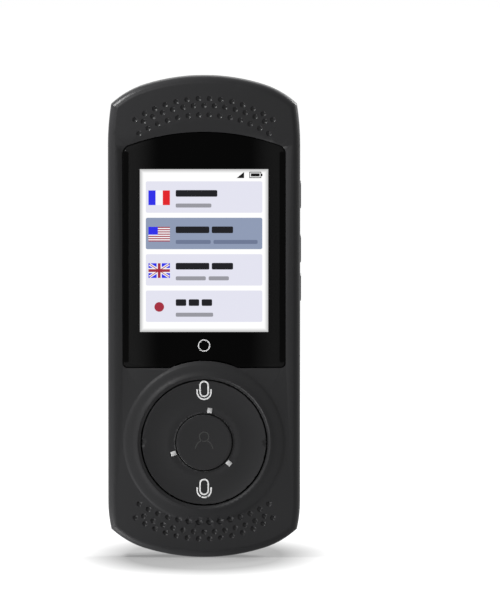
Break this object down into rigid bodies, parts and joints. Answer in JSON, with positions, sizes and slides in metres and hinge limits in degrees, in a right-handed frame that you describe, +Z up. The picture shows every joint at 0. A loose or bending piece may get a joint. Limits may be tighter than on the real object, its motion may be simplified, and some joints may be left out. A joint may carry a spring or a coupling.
{
  "type": "handheld translator",
  "caption": "Pocket translator with an arched display window, round talk rocker with a middle key, side keys, card tray and fans of sound holes in a bowed back",
  "frame": {"origin": "under the lowest point of the rounded lower end, half-way through the depth", "axes": "+Z up the long side, the display faces -Y, +X is the user's right"},
  "size_m": [0.0553, 0.0157, 0.138],
  "materials": {
    "shell": "satin black",
    "rocker": "satin black",
    "trim": "satin grey",
    "glass": "polished black",
    "panel": "lit display",
    "light": "clear",
    "board": "solder mask",
    "metal": "plain",
    "steel": "plain",
    "soft": "soft",
    "cloth": "woven",
    "cell": "foil"
  },
  "bodies": {
    "case": {"front_cover": "shell", "rear_cover": "shell", "rear_inlay": "shell", "badge_plate": "trim", "display_window": "glass", "window_tape": "soft", "touch_film": "glass", "display_panel": "panel", "backlight_tray": "metal", "display_cushion": "soft", "display_flex": "board", "rocker_retainer": "shell", "retainer_screws": "steel", "light_sources": "light", "talk_switches": "steel", "middle_key_switch": "steel", "power_switch": "steel", "volume_up_switch": "steel", "volume_down_switch": "steel", "main_board": "board", "board_screws": "steel", "upper_shield": "steel", "lower_shield": "steel", "microphones": "steel", "microphone_boots": "soft", "upper_antenna": "board", "lower_antenna": "board", "socket_shell": "steel", "socket_tongue": "board", "card_reader": "steel", "battery": "cell", "battery_tape": "soft", "battery_connector": "board", "upper_speaker": "shell", "upper_speaker_cone": "soft", "upper_speaker_gasket": "soft", "upper_grille_cloth": "cloth", "lower_speaker": "shell", "lower_speaker_cone": "soft", "lower_speaker_gasket": "soft", "lower_grille_cloth": "cloth"},
    "talk_rocker": {"talk_rocker": "rocker", "indicator_lights": "light"},
    "middle_key": {"middle_key": "rocker"},
    "power_key": {"power_key": "shell"},
    "volume_up_key": {"volume_up_key": "shell"},
    "volume_down_key": {"volume_down_key": "shell"},
    "card_tray": {"card_tray": "shell"}
  },
  "joints": [
    {"name": "talk_rocker_tilt", "type": "hinge", "parent": "case", "child": "talk_rocker", "pos_m": [0, -0.00455, 0.0331], "axis": [1, 0, 0], "range_deg": [-1.5, 1.5], "stiffness_Nm_per_rad": 2},
    {"name": "middle_key_press", "type": "slide", "parent": "case", "child": "middle_key", "axis": [0, 1, 0], "range_m": [0, 0.00035], "stiffness_N_per_m": 400},
    {"name": "power_key_press", "type": "slide", "parent": "case", "child": "power_key", "axis": [-1, 0, 0], "range_m": [0, 0.0003], "stiffness_N_per_m": 400},
    {"name": "volume_up_key_press", "type": "slide", "parent": "case", "child": "volume_up_key", "axis": [-1, 0, 0], "range_m": [0, 0.0003], "stiffness_N_per_m": 400},
    {"name": "volume_down_key_press", "type": "slide", "parent": "case", "child": "volume_down_key", "axis": [-1, 0, 0], "range_m": [0, 0.0003], "stiffness_N_per_m": 400},
    {"name": "card_tray_pull", "type": "slide", "parent": "case", "child": "card_tray", "axis": [-1, 0, 0], "range_m": [0, 0.018]}
  ]
}
